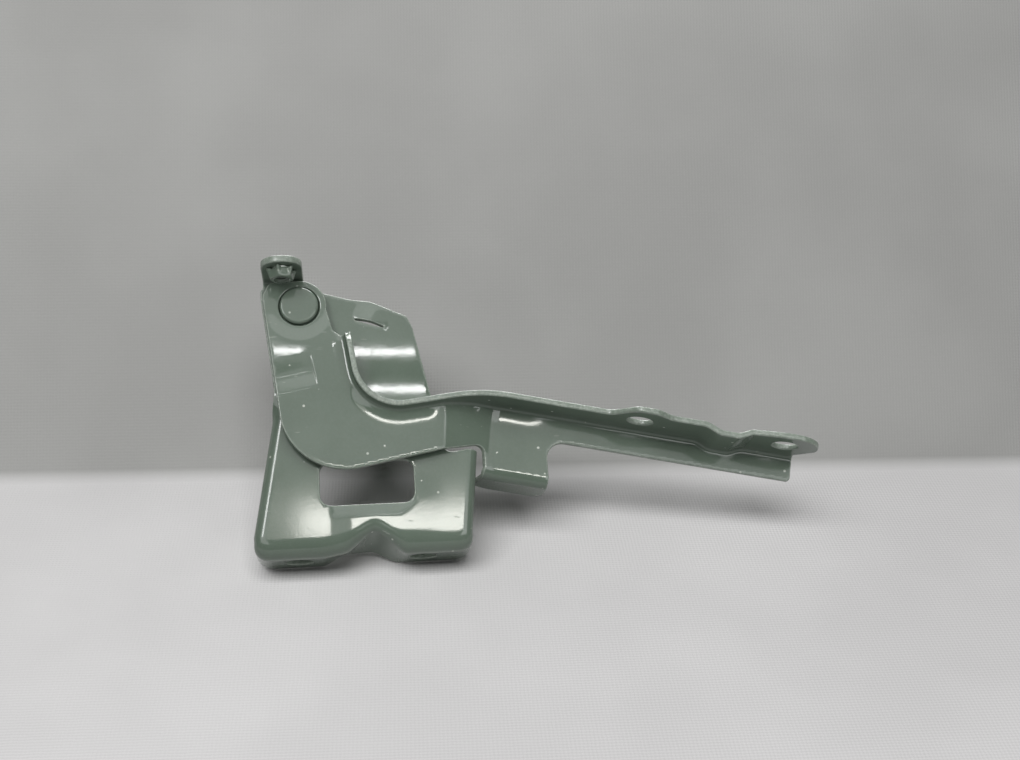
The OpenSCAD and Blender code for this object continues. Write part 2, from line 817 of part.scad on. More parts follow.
module weld_nut() {
    corner_r = nut_af / 2 / cos(30);
    chamfer = 0.8;
    color(paint)
        at_plate()
            translate([pivot[0] - tab_back, -nut_reach, pivot_h + tab_rise])
                difference() {
                    union() {
                        intersection() {
                            translate([0, 0, -nut_h])
                                cylinder(h = nut_h - weld_h, r = corner_r, $fn = 6);
                            translate([0, 0, -nut_h])
                                rotate_extrude()
                                    polygon([[0, 0], [corner_r - chamfer, 0], [corner_r, chamfer / 2],
                                        [corner_r, nut_h], [0, nut_h]]);
                        }
                        for (a = [0 : 120 : 240])
                            rotate(a)
                                translate([corner_r - 1.4, 0, -weld_h - 0.2])
                                    cylinder(h = weld_h + 0.2, r = 1.2, $fn = 24);
                    }
                    translate([0, 0, -nut_h - 1])
                        cylinder(h = nut_h + 2, d = nut_bore);
                }
}

body_bracket();
bonnet_arm();
pivot_rivet();
pivot_bush();
thrust_washer();
tail_washer();
weld_nut();
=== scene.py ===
from math import pi, radians, tan

import bpy
import numpy as np
from mathutils import Matrix
from mathutils.geometry import delaunay_2d_cdt


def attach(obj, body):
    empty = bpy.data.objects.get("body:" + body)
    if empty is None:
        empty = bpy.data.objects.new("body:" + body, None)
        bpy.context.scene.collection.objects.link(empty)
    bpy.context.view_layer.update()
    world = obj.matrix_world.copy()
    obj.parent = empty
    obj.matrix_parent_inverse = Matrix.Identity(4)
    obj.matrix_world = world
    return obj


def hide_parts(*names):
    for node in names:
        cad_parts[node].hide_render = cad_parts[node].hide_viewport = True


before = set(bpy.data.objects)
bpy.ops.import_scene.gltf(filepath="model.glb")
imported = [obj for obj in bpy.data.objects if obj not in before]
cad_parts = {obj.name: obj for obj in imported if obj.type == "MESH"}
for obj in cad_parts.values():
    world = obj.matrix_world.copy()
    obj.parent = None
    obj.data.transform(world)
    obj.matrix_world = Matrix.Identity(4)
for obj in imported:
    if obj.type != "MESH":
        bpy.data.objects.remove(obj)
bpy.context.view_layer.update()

# Body bracket: one deep pressing in 3 mm steel sheet, with rolled side walls, a base flange with two
# bolt holes, a window, a gusset between the feet, a wing with a lanced stop and a tab turned forward.
# It is drawn as a flat blank in millimetres, bent, and dipped in grey-green primer with its nut on.
MM = 0.001
SETBACK = 13.5  # the plate's front face stands this far in front of the body bolts


def way(deg):
    """Unit vectors at angles in degrees: the cosine and the sine side by side."""
    a = np.radians(deg)
    return np.stack([np.cos(a), np.sin(a)], -1)


def ease(a, b, x):
    """Smooth step: 0 up to a, 1 from b on, and three squares less two cubes of the share between."""
    t = np.clip((np.asarray(x, float) - a) / (b - a), 0, 1)
    return t * t * (3 - 2 * t)


def evened(line, step):
    """A closed line cut into equal steps by its running length."""
    ring = np.vstack([line, line[:1]])
    run = np.concatenate([[0], np.cumsum(np.linalg.norm(np.diff(ring, axis=0), axis=1))])
    at = np.linspace(0, run[-1], int(round(run[-1] / step)), endpoint=False)
    return np.stack([np.interp(at, run, ring[:, k]) for k in (0, 1)], -1)


def cut_line(corners, step=0.8):
    """A closed cut edge through corners (x, z, r): each corner becomes an arc of radius r that touches both
    sides, drawn by turning the arm to its first end evenly towards the arm to its last."""
    c = np.array(corners, float)
    p, r = c[:, :2], c[:, 2]
    a, b = np.roll(p, 1, 0) - p, np.roll(p, -1, 0) - p
    la, lb = np.linalg.norm(a, axis=1), np.linalg.norm(b, axis=1)
    a, b = a / la[:, None], b / lb[:, None]
    half = np.arccos(np.clip((a * b).sum(1), -1, 1)) / 2
    cut = np.minimum(r / np.tan(half), 0.49 * np.minimum(la, lb))
    mid = (a + b) / (np.linalg.norm(a + b, axis=1) + 1e-9)[:, None]
    centre = p + mid * (cut / np.cos(half))[:, None]
    k = np.linspace(0, 1, 9)
    turn = np.maximum(pi - 2 * half, 1e-4)[:, None]
    w0, w1 = np.sin((1 - k) * turn) / np.sin(turn), np.sin(k * turn) / np.sin(turn)
    first, last = p + a * cut[:, None] - centre, p + b * cut[:, None] - centre
    arcs = centre[:, None] + w0[..., None] * first[:, None] + w1[..., None] * last[:, None]
    return evened(arcs.reshape(-1, 2), step)


def sharp(line):
    """Corners without a radius, along a line."""
    return [(x, z, 0) for x, z in line]


def hole(x, z, r, step=0.7):
    """A round hole's edge."""
    return evened(np.array([x, z]) + r * way(np.arange(0, 360, 3.0)), step)


def within(points, loops):
    """Which points lie between the cut edges: an odd number of edge crossings to their right."""
    odd = np.zeros(len(points), bool)
    for loop in loops:
        a, b = loop, np.roll(loop, -1, 0)
        for part in np.array_split(np.arange(len(points)), 1 + len(points) // 4000):
            x, z = points[part, 0, None], points[part, 1, None]
            spans = (a[:, 1] > z) != (b[:, 1] > z)
            cross = a[:, 0] + (z - a[:, 1]) * (b[:, 0] - a[:, 0]) / (b[:, 1] - a[:, 1] + 1e-12)
            odd[part] ^= (spans & (cross > x)).sum(1) % 2 == 1
    return odd


def clear_of(points, line, gap):
    """Which points keep the gap from every point of a line."""
    keep = np.ones(len(points), bool)
    for part in np.array_split(np.arange(len(points)), 1 + len(points) // 4000):
        away = points[part, None] - line[None]
        keep[part] = (away ** 2).sum(-1).min(1) > gap * gap
    return keep


def staggered(x0, x1, z0, z1, step):
    """A field of points in staggered rows."""
    x, z = np.meshgrid(np.arange(x0, x1, step), np.arange(z0, z1, step * 0.866))
    return np.stack([x + step / 2 * (np.arange(len(x)) % 2)[:, None], z], -1).reshape(-1, 2)


def put(name, points, faces, body, node, rim):
    """A smooth-shaded mesh from whole arrays, riding on its body in place of its CAD node. Its rim mark is
    1 on cut edges and 0 elsewhere."""
    mesh = bpy.data.meshes.new(name)
    mesh.from_pydata((points * MM).tolist(), [], faces)
    mesh.polygons.foreach_set("use_smooth", np.ones(len(mesh.polygons), bool))
    mesh.attributes.new("rim", "FLOAT", "POINT").data.foreach_set("value", rim.astype(np.float32))
    piece = bpy.data.objects.new(name, mesh)
    bpy.context.scene.collection.objects.link(piece)
    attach(piece, body)
    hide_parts(node)
    return piece


def pressed_sheet(name, loops, inner, face, relief, thick, edge, body, node):
    """A closed sheet of even thickness. The blank between the cut edges (outline first, then holes) is
    filled with triangles, bent by face, and moved along the bent face's normal by the depth into the sheet
    and by the relief of its pressed details; the cut edges are carried round a rounded rim to the back."""
    area = [np.sum(c[:, 0] * np.roll(c[:, 1], -1) - c[:, 1] * np.roll(c[:, 0], -1)) for c in loops]
    wound = [c if (a > 0) == (k == 0) else c[::-1] for k, (c, a) in enumerate(zip(loops, area))]
    tangent = [np.roll(c, -1, 0) - np.roll(c, 1, 0) for c in wound]
    inward = np.vstack([np.stack([-t[:, 1], t[:, 0]], -1) / np.linalg.norm(t, axis=1)[:, None]
                        for t in tangent])
    line = np.vstack(wound)
    count = len(line)
    ends = np.cumsum([len(c) for c in wound])
    following = np.arange(1, count + 1)
    following[ends - 1] = np.concatenate([[0], ends[:-1]])
    start = line + edge * inward
    rims = np.split(start, ends[:-1])
    inner = inner[within(inner, rims)]
    flat = np.vstack([start, inner[clear_of(inner, start, 0.5)]])
    n = len(flat)
    sides = np.stack([np.arange(count), following], -1)
    made = delaunay_2d_cdt(flat.tolist(), sides.tolist(), [], 0, 1e-7)
    first = np.array([o[0] for o in made[3]])
    tri = first[np.array(made[2])]
    tri = tri[within(flat[tri].mean(1), rims)]
    p, q, r = flat[tri[:, 0]], flat[tri[:, 1]], flat[tri[:, 2]]
    back_to_front = (q[:, 0] - p[:, 0]) * (r[:, 1] - p[:, 1]) < (q[:, 1] - p[:, 1]) * (r[:, 0] - p[:, 0])
    tri[back_to_front] = tri[back_to_front][:, ::-1]
    a = np.radians([22.5, 45, 67.5, 90])
    inset = np.concatenate([edge * (1 - np.sin(a)), edge * (1 - np.sin(a[::-1]))])
    depth = np.concatenate([edge * (1 - np.cos(a)), thick - edge * (1 - np.cos(a[::-1]))])
    ring = line[None] + inset[:, None, None] * inward[None]
    blank = np.vstack([flat, ring.reshape(-1, 2), flat])
    into = np.concatenate([np.zeros(n), np.repeat(depth, count), np.full(n, thick)])
    on_rim = np.concatenate([np.zeros(n), np.ones(len(depth) * count), np.zeros(n)])
    nudge = 0.05
    du = face(blank + [nudge, 0]) - face(blank - [nudge, 0])
    dv = face(blank + [0, nudge]) - face(blank - [0, nudge])
    normal = np.cross(dv, du)
    normal /= np.linalg.norm(normal, axis=1)[:, None]
    points = face(blank) + (into + relief(blank))[:, None] * normal
    points[:, 1] -= SETBACK
    rows = np.vstack([np.arange(count), n + np.arange(len(depth) * count).reshape(-1, count),
                      n + len(depth) * count + np.arange(count)])
    here, nxt = rows[:-1], rows[1:]
    quads = np.stack([here, nxt, nxt[:, following], here[:, following]], -1).reshape(-1, 4)
    back = tri[:, ::-1] + n + len(depth) * count
    return put(name, points, tri.tolist() + back.tolist() + quads.tolist(), body, node, rim=on_rim)


PIVOT = np.array([-22.8, 108.0])
bracket_t = 3.0
base_half = 46.0
base_bend, side_bend, corner_bend = 7.0, 4.5, 2.0
left_lean, right_lean = 10.0, 6.5
flange_depth, wall_depth, wall_top, wall_run = 26.0, 8.5, 67.0, 26.0
outs = np.array([way(180 - left_lean), [0.0, -1.0], way(-right_lean)])
starts = np.array([[-base_half, 0] - side_bend * outs[0], [0, base_bend],
                   [base_half, 0] - side_bend * outs[2]])
centres = [np.linalg.solve(outs[[k, k + 1]], (outs[[k, k + 1]] * starts[[k, k + 1]]).sum(1) - corner_bend)
           for k in (0, 1)]


def skirt(p):
    """How far a point of the blank lies beyond the line where the walls start to bend, the way outwards
    there, and the bend's radius: the farthest of three straight lines, or a fan round each drawn corner."""
    far = ((p[:, None] - starts) * outs).sum(-1)
    side = far.argmax(1)
    t, out = far.max(1), outs[side]
    for k in (0, 1):
        q = p - centres[k]
        size = np.linalg.norm(q, axis=1) + 1e-9
        one, two = outs[k], outs[k + 1]
        fan = (one[0] * q[:, 1] > one[1] * q[:, 0]) & (q[:, 0] * two[1] > q[:, 1] * two[0])
        t = np.where(fan, size - corner_bend, t)
        out = np.where(fan[:, None], q / size[:, None], out)
    return t, out, side_bend + (base_bend - side_bend) * ease(0.12, 1, -out[:, 1])


gusset_top, gusset_rise, gusset_x, gusset_half, gusset_tighter = 18.0, 13.0, 5.9, 12.5, 2.6
rear_rise, rear_x, rear_flat, rear_left, rear_right = 4.9, -1.3, 4.5, 16.0, 17.0
blank_run = gusset_top - base_bend + base_bend * pi / 2 + flange_depth - base_bend


def gusset_side(x, down):
    """Side view of the foot at a place across it: straight down the plate, round an arc and straight to the
    rear. The arc's corner rises like a rounded tent over the gusset and the rear end like a flat-topped
    bell, and the way down the blank is shared out evenly over the whole side view."""
    tent = 1 - np.sqrt(((x - gusset_x) / gusset_half) ** 2 + 0.04)
    corner = gusset_rise * np.where(tent > 0.12, tent, np.maximum(0, tent + 0.12) ** 2 / 0.48)
    rear = (rear_rise * ease(rear_x - rear_left, rear_x - rear_flat, x)
            * ease(rear_x + rear_right, rear_x + rear_flat, x))
    bend = base_bend - gusset_tighter * corner / gusset_rise
    fall = np.arctan2(corner - rear, flange_depth)
    end = flange_depth - bracket_t * np.maximum(0, np.sin(fall))
    turn = pi / 2 - fall
    reach = bend * np.tan(turn / 2)
    upright, arc = gusset_top - corner - reach, bend * turn
    slope = np.hypot(end, corner - rear) - reach
    run = down / blank_run * (upright + arc + slope)
    round_ = np.clip((run - upright) / bend, 0, turn)
    past = np.maximum(0, run - upright - arc)
    y = bend * (1 - np.cos(round_)) + past * np.cos(fall)
    return y, gusset_top - np.minimum(run, upright) - bend * np.sin(round_) - past * np.sin(fall)


tab_root, tab_bend = 118.5, 2.5
foot_half, fade_low, fade_high = 24.0, 58.0, 71.0


def bracket_face(p):
    """The blank bent into the bracket: past the bend's start a point goes round a quarter circle and then
    straight back, between the feet by the gusset's own side view. The bends fade at the top of the left
    wall, and above its root the tab goes round a bend to the front."""
    t, out, bend = skirt(p)
    turn = np.clip(t / bend, 0, pi / 2)
    fade = ease(fade_high, fade_low, p[:, 1])
    moved = np.where(t > 0, bend * np.sin(turn) - t, 0) * fade
    flat = p + moved[:, None] * out
    y = np.where(t > 0, bend * (1 - np.cos(turn)) + np.maximum(0, t - bend * pi / 2), 0) * fade
    gy, gz = gusset_side(p[:, 0], np.maximum(0, gusset_top - p[:, 1]))
    foot = (p[:, 1] < gusset_top) & (np.abs(p[:, 0]) < foot_half)
    y = np.where(foot, gy, y)
    z = np.where(foot, gz, flat[:, 1])
    up = np.maximum(0, p[:, 1] - tab_root)
    bow = np.minimum(up / tab_bend, pi / 2)
    y = np.where(up > 0, -tab_bend * (1 - np.cos(bow)) - np.maximum(0, up - tab_bend * pi / 2), y)
    z = np.where(up > 0, tab_root + tab_bend * np.sin(bow), z)
    return np.stack([flat[:, 0], y, z], -1)


stop_mid = PIVOT + 30.5 * way(-12.5)
stop_way, stop_up = way(-17.5), way(72.5)
stop_high, stop_half, stop_run = 1.8, 8.6, 11.0
step_high, step_from, step_run, lean_rate, lean_from, strip_top = 0.45, -12.2, 8.6, 0.13, 15.6, 21.5


def bracket_relief(p):
    """The lanced stop stands proud like a bell along its cut, full on its lower edge and run out above.
    Below the window the foot steps forward along a straight ramp, and the strip over the gusset leans
    back."""
    q = p - stop_mid
    a, c = q @ stop_way, q @ stop_up
    bell = np.cos(pi / 2 * np.clip(a / stop_half, -1, 1)) ** 2
    above_cut, at_cut = 1 - ease(-2, stop_run, c), 1 - ease(-2, stop_run, 0)
    stop = -stop_high * bell * np.where(c > 0, above_cut, at_cut * np.clip(1 + c / 0.3, 0, 1))
    x, z = p.T
    soft = (-0.6, -0.3, 0, 0.3, 0.6)
    ramp = np.mean([np.clip((x - step_from + o) / step_run, 0, 1) for o in soft], axis=0)
    step = step_high * ramp * ease(38, 16, x) * ease(34, 21, z) * ease(3, 9, z)
    under = np.minimum(z, strip_top)
    over = np.clip((x + 12.5) / 1.5, 0, 1) * np.clip((2.5 - x + under) / 5, 0, 1)
    lean = lean_rate * over * np.maximum(0, under - lean_from) * ease(26, strip_top, z)
    return stop - step + lean


def wall_edge(z):
    """Depth of the side walls at a height: the flange's depth at the foot, a quarter circle up to the
    wall's own depth, and a straight run-out at the top of the left wall."""
    sweep = flange_depth - wall_depth
    rise = np.clip(z - base_bend, 0, sweep)
    foot = flange_depth - np.sqrt(np.maximum(0, sweep ** 2 - (rise - sweep) ** 2))
    upper = np.interp(z, [wall_top - wall_run, wall_top], [wall_depth, bracket_t])
    return np.where(z < base_bend + sweep, foot, upper)


def past_bend(depth, bend):
    """Length in the blank, past the bend's start, that ends at a depth behind the plate."""
    on_bend = bend * np.arccos(np.clip(1 - depth / bend, -1, 1))
    return np.where(depth < bend, on_bend, bend * pi / 2 + depth - bend)


column_top = 43.0
column_slope = tan(radians(10.5))
left_z = np.arange(wall_top, base_bend + 3, -1.0)
left_foot = starts[0] + (left_z - starts[0][1])[:, None] / way(90 - left_lean)[1] * way(90 - left_lean)
right_z = np.append(np.arange(base_bend + 3, column_top, 1.0), column_top)
right_foot = starts[2] + (right_z - starts[2][1])[:, None] / way(90 - right_lean)[1] * way(90 - right_lean)
fans = [np.linspace(180 - left_lean, 270, 13), np.linspace(270, 360 - right_lean, 13)]
base_x = np.arange(centres[0][0] + 1, centres[1][0], 1.0)
skirt_foot = np.vstack([left_foot, centres[0] + corner_bend * way(fans[0]),
                        np.stack([base_x, np.full(len(base_x), base_bend)], -1),
                        centres[1] + corner_bend * way(fans[1]), right_foot])
skirt_out = skirt(skirt_foot + 0.01 * skirt(skirt_foot)[1])[1]
skirt_bend = skirt(skirt_foot + 0.01 * skirt_out)[2]
skirt_end = skirt_foot + past_bend(wall_edge(skirt_foot[:, 1]), skirt_bend)[:, None] * skirt_out
neck_x = 33.2
tab_right, tab_left, tab_end = -20.75, -38.25, tab_root + tab_bend * pi / 2 + 22
upper = [(46.4, column_top, 1.5), (neck_x + 3, column_top + column_slope * (neck_x + 3 - base_half), 5),
         (neck_x - 0.6, 58, 4), (32.2, wall_top, 2.5), (25.7, 98.5, 3), (23.45, 103.75, 3), (8.1, 111.0, 6),
         (-0.95, 112.3, 8), (tab_right, tab_root - 0.6, 2), (tab_right, tab_end, 8), (tab_left, tab_end, 8),
         (tab_left, tab_root, 0.8), (-39.4, tab_root - 0.9, 1), (-39.4, 113, 4), (-34.4, 72, 6)]
window_left, window_right, window_low, window_high, window_r = -16.45, 23.05, 21.0, 39.5, 4.5
nut_x, nut_reach, screw_hole_r, rivet_hole_r, bolt_r, bolt_x = -29.5, 16.2, 3.5, 3.25, 5.5, 26.0
bracket_cuts = [
    cut_line(sharp(skirt_end[:-1]) + [(*skirt_end[-1], 2)] + upper),
    cut_line([(window_left, window_low, window_r), (window_right, window_low, window_r),
              (window_right, window_high, window_r), (window_left, window_high, window_r)]),
    hole(*PIVOT, rivet_hole_r),
    hole(nut_x, tab_root + tab_bend * pi / 2 + nut_reach - tab_bend, screw_hole_r),
]
bolt_z = base_bend - base_bend * pi / 2 - (SETBACK - base_bend)
bracket_cuts += [hole(x, bolt_z, bolt_r) for x in (-bolt_x, bolt_x)]
slit_half, slit_open, slit_drop = 6.6, 0.45, 0.25
slit = way(np.arange(0, 360, 6.0))
slit_line = (stop_mid + slit_half * slit[:, :1] * stop_way
             + (slit_open * slit[:, 1:] - slit_drop) * stop_up)
bracket_cuts.append(evened(slit_line, 0.5))
fold_rows = np.concatenate([np.arange(0, 11.4, 0.7), np.arange(12, 32, 1.3)])
plate_field = staggered(-50, 55, 0, tab_root - 1, 1.05)
louver = (stop_mid + np.arange(-7.4, 7.5, 0.4)[:, None, None] * stop_way
          + np.array([-0.6, -0.3, 0.0, 0.35])[None, :, None] * stop_up).reshape(-1, 2)
plate_field = plate_field[(skirt(plate_field)[0] < -0.4) & clear_of(plate_field, louver, 0.5)]
bend_rows = np.arange(tab_root - 0.5, tab_root + 4.5, 0.5)
bend_field = np.stack(np.meshgrid(np.arange(-40, -18, 0.9), bend_rows), -1)
tab_field = staggered(-40, -18, tab_root + 5, tab_end + 1, 1.0)
fold_field = skirt_foot[:, None] + fold_rows[None, :, None] * skirt_out[:, None]
bracket_field = np.vstack([plate_field, louver, bend_field.reshape(-1, 2), tab_field,
                           fold_field.reshape(-1, 2)])
bracket_edge = 0.55
bracket = pressed_sheet("bracket_pressing", bracket_cuts, bracket_field, bracket_face, bracket_relief,
                        bracket_t, bracket_edge, "bracket", "body_bracket")


class Shade:
    """A socket of a material. Operators on it add Math nodes; make adds any other node by its type, its
    settings, which are set first, and the values or links of its sockets."""

    def __init__(self, tree, socket=None):
        self.tree, self.socket = tree, socket

    def make(self, kind, settings=None, inputs=None, out=0):
        node = self.tree.nodes.new(kind)
        for name, value in (settings or {}).items():
            setattr(node, name, value)
        for name, value in (inputs or {}).items():
            if isinstance(value, Shade):
                self.tree.links.new(value.socket, node.inputs[name])
            else:
                node.inputs[name].default_value = value
        return Shade(self.tree, node.outputs[out])

    def maths(self, how, a, b):
        """One sum of two values, each a socket or a number."""
        return self.make("ShaderNodeMath", {"operation": how}, {0: a, 1: b})

    def __add__(self, b): return self.maths("ADD", self, b)
    def __radd__(self, b): return self.maths("ADD", b, self)
    def __sub__(self, b): return self.maths("SUBTRACT", self, b)
    def __rsub__(self, b): return self.maths("SUBTRACT", b, self)
    def __mul__(self, b): return self.maths("MULTIPLY", self, b)
    def __rmul__(self, b): return self.maths("MULTIPLY", b, self)

    def spread(self, low, high):
        """0 up to low and 1 from high on, with a smooth step between."""
        return self.make("ShaderNodeMapRange", {"interpolation_type": "SMOOTHSTEP"},
                         {"Value": self, "From Min": low, "From Max": high})

    def mixed(self, a, b):
        """Colour a where this is 0, colour b where it is 1."""
        return self.make("ShaderNodeMix", {"data_type": "RGBA"}, {"Factor": self, "A": a, "B": b}, "Result")

    def noise(self, where, scale, detail=2.0, rough=0.5):
        """Cloudy noise over a place, with its scale in waves to the metre."""
        return self.make("ShaderNodeTexNoise", {}, {"Vector": where, "Scale": scale, "Detail": detail,
                                                    "Roughness": rough})

    def drive(self, name):
        """Feeds the surface's socket of this name."""
        self.tree.links.new(self.socket, self.tree.nodes["Principled BSDF"].inputs[name])


def finish(name, **fixed):
    """A new material with its fixed numbers set on the surface's own sockets, and a first socket in its
    tree: the place on the object."""
    material = bpy.data.materials.new(name)
    material.use_nodes = True
    surface = material.node_tree.nodes["Principled BSDF"]
    for key, value in fixed.items():
        surface.inputs[key.replace("_", " ")].default_value = value
    return material, Shade(material.node_tree).make("ShaderNodeTexCoord", out="Object")


def tone(r, g, b):
    """A colour written as it looks on a screen, for a socket that takes light."""
    c = np.array([r, g, b]) / 255
    return (*np.where(c < 0.04045, c / 12.92, ((c + 0.055) / 1.055) ** 2.4).tolist(), 1.0)


def dipped_primer():
    """Grey-green dipped primer: an even gloss over a slightly cloudy colour, with a fine orange peel, dust
    nibs caught in it, hair scratches, a drier grain on the lower half, and sheared roughness under the
    paint on the cut edges, whose colour is also painted lighter as a painted highlight speckled along the
    shear."""
    paint, place = finish("dipped_primer", IOR=1.52)
    cloud = place.noise(place, 38.0, 3.0, 0.55)
    grain = place.noise(place, 900.0, 2.0, 0.6)
    peel = place.noise(place, 260.0, 2.0, 0.5)
    level = place.make("ShaderNodeSeparateXYZ", {}, {"Vector": place}, "Z")
    dry = 1 - level.spread(0.052, 0.066)
    cells = place.make("ShaderNodeTexVoronoi", {}, {"Vector": place, "Scale": 150.0}, "Distance")
    lucky = place.make("ShaderNodeTexVoronoi", {}, {"Vector": place, "Scale": 150.0}, "Color")
    pick = lucky.make("ShaderNodeSeparateColor", {}, {"Color": lucky}, "Red")
    nib = (1 - cells.spread(0.04, 0.11)) * pick.spread(0.4, 0.45)
    stretched = place.make("ShaderNodeMapping", {}, {"Vector": place, "Scale": (0.18, 1.0, 1.0),
                                                     "Rotation": (0.0, 0.5, 0.3)})
    hair = place.noise(stretched, 700.0, 1.0, 0.4).spread(0.72, 0.75) * cloud.spread(0.5, 0.62)
    rim = place.make("ShaderNodeAttribute", {"attribute_name": "rim"}, {}, "Fac")
    sheared = place.make("ShaderNodeMapping", {}, {"Vector": place, "Scale": (1.0, 0.35, 1.0)})
    # One noise both roughens the sheared cut edges in the bump and speckles their painted highlight in the
    # colour.
    shear_and_glints = place.noise(sheared, 620.0, 3.0, 0.65)
    body = cloud.spread(0.3, 0.7).mixed(tone(87, 99, 88), tone(93, 105, 94))
    body = (grain.spread(0.35, 0.8) * 0.25).mixed(body, tone(100, 111, 102))
    # Painted highlight: the cut edges are painted lighter, speckled by the shear noise, in place of the
    # glints light puts on them.
    body = (rim * (0.25 + 0.35 * shear_and_glints.spread(0.4, 0.7))).mixed(body, tone(150, 158, 149))
    body = (hair * 0.5).mixed(body, tone(140, 147, 138))
    (nib * 0.8).mixed(body, tone(186, 190, 182)).drive("Base Color")
    (0.015 + 0.03 * cloud + 0.02 * grain + 0.05 * dry + 0.15 * hair + 0.12 * rim).drive("Roughness")
    height = 0.05 * peel + (0.004 + 0.07 * dry) * grain + 0.5 * nib - 0.05 * hair + 2.0 * rim * shear_and_glints
    bump = {"Strength": 0.16, "Distance": 0.0006, "Height": height}
    place.make("ShaderNodeBump", {}, bump).drive("Normal")
    return paint


primer = dipped_primer()
bracket.data.materials.append(primer)

# Weld nut: a hexagon steel nut with a screw thread, projection-welded under the tab before the dip.
# Ears at its corners reach up to the tab as the weld, and the primer rounds them over.


def turned(rows, rings, wrap=True):
    """Faces of a grid of rings that closes on itself round the axis, and from last ring to first where wrap
    is set."""
    index = np.arange(rows * rings).reshape(rows, rings)
    nxt = np.roll(index, -1, 0) if wrap else index[1:]
    here = index if wrap else index[:-1]
    return np.stack([here, nxt, np.roll(nxt, -1, 1), np.roll(here, -1, 1)], -1).reshape(-1, 4).tolist()


nut_seat, nut_h, thread_r, pitch = 121.0, 5.0, 2.5, 1.0
nut_y = -SETBACK - nut_reach
nut_a = np.linspace(0, 2 * pi, 144, endpoint=False)
nut_turn = radians(18)
corner = 1 / np.maximum(np.cos(((nut_a - nut_turn) % (pi / 3)) - pi / 6), 0.88) - 1
ear = np.cos(3 * (nut_a - nut_turn)) ** 6
nut_low = nut_seat - nut_h
nut_body, thread_deep, mouth_deep, mouth_open = 4.1, 0.45, 1.1, 0.75
# Radius of the flats, share of the corners, reach of the corner ears, height of the flats, ears' rise.
nut_rows = np.array([(3.25, 0, 0, 0, 0), (4.1, 0, 0, 0, 0), (4.45, 0.1, 0, 0.06, 0),
                     (4.62, 0.5, 0, 0.25, 0), (4.7, 0.85, 0, 0.6, 0), (4.75, 0.95, 0.1, 1.2, 0),
                     (4.8, 0.95, 0.25, 2.0, 0), (4.85, 0.95, 0.45, 2.7, 0.1), (4.9, 0.95, 0.75, 3.3, 0.3),
                     (4.9, 0.95, 1.0, 3.7, 0.6), (4.85, 0.9, 1.05, 3.95, 0.8),
                     (4.7, 0.8, 0.95, nut_body, 0.9), (4.2, 0.6, 0.9, nut_body, 0.9),
                     (3.4, 0, 0, nut_body, 0)])
outside = nut_rows[:, 0, None] * (1 + nut_rows[:, 1, None] * corner) + nut_rows[:, 2, None] * ear
thread_z = np.linspace(nut_low + nut_body, nut_low, 51)
wind = (nut_a[None] / (2 * pi) + (thread_z[:, None] - nut_low) / pitch) % 1
mouth = ease(mouth_deep, 0, thread_z - nut_low)[:, None] * mouth_open
bore = thread_r + thread_deep * np.abs(2 * wind - 1) * (1 - mouth) + mouth
radius = np.vstack([outside, bore])
height = np.vstack([nut_low + nut_rows[:, 3, None] + nut_rows[:, 4, None] * ear,
                    np.repeat(thread_z[:, None], len(nut_a), 1)])
nut_points = np.stack([nut_x + radius * np.cos(nut_a), nut_y + radius * np.sin(nut_a), height], -1)
nut_points = nut_points.reshape(-1, 3)
nut = put("weld_nut_hexagon", nut_points, turned(len(height), len(nut_a)), "bracket", "weld_nut",
          rim=np.zeros(len(nut_points)))
nut.data.materials.append(primer)

# Bonnet arm: one gooseneck pressing in 2.5 mm steel sheet. The web has a dished boss for the pivot and a
# lanced dart that meets the stop, is set back by a joggle, and turns forward into a flange with two bolt
# holes along its inner edge and back into the lip of a catch block below. Dipped in the same primer.
arm_t, flange_bend = 2.5, 2.0
web_front, web_setback, run_reach = -5.7, 11.0, 11.2
bend_start = flange_bend + arm_t
neck_c, neck_r = PIVOT + [41.8, -27.4], 18.0
rise_len, rise_head, run_head, arm_head = 17.0, 8.5 - 90, 6.7, -12.4
crown_r = 75.0
run_foot = neck_c + neck_r * way(run_head - 90)
crown_corner = run_foot + (PIVOT[0] + 76.2 - run_foot[0]) / way(run_head)[0] * way(run_head)
crown_tangent = crown_r * tan(radians(run_head - arm_head) / 2)
crown_from = crown_corner - crown_tangent * way(run_head)
crown_c = crown_from + crown_r * way(run_head - 90)
arm_from = crown_corner + crown_tangent * way(arm_head)
s_neck = rise_len
s_run = s_neck + neck_r * radians(run_head - rise_head)
s_crown = s_run + np.linalg.norm(crown_from - run_foot)
s_arm = s_crown + crown_r * radians(run_head - arm_head)
bolt_a = s_arm + 69.0 - crown_tangent
bolt_b = bolt_a + 63.5
arm_front = web_front + web_setback
rise_top = neck_c + neck_r * way(rise_head - 90) - rise_len * way(rise_head)


def heading(s):
    """Direction of the flange's path, in degrees: straight, round the gooseneck, straight, over the
    crown and straight again."""
    return np.interp(s, [0, s_neck, s_run, s_crown, s_arm],
                     [rise_head, rise_head, run_head, run_head, arm_head])


def bend_line(s):
    """Points of the line where the flange starts to bend, beside the path of its outer face."""
    s = np.asarray(s, float)
    h = heading(s)
    path = np.select([s[:, None] < s_neck, s[:, None] < s_run, s[:, None] < s_crown, s[:, None] < s_arm],
                     [rise_top + s[:, None] * way(rise_head), neck_c + neck_r * way(h - 90),
                      run_foot + (s - s_run)[:, None] * way(run_head), crown_c + crown_r * way(h + 90)],
                     arm_from + (s - s_arm)[:, None] * way(arm_head))
    return path + bend_start * way(h - 90)


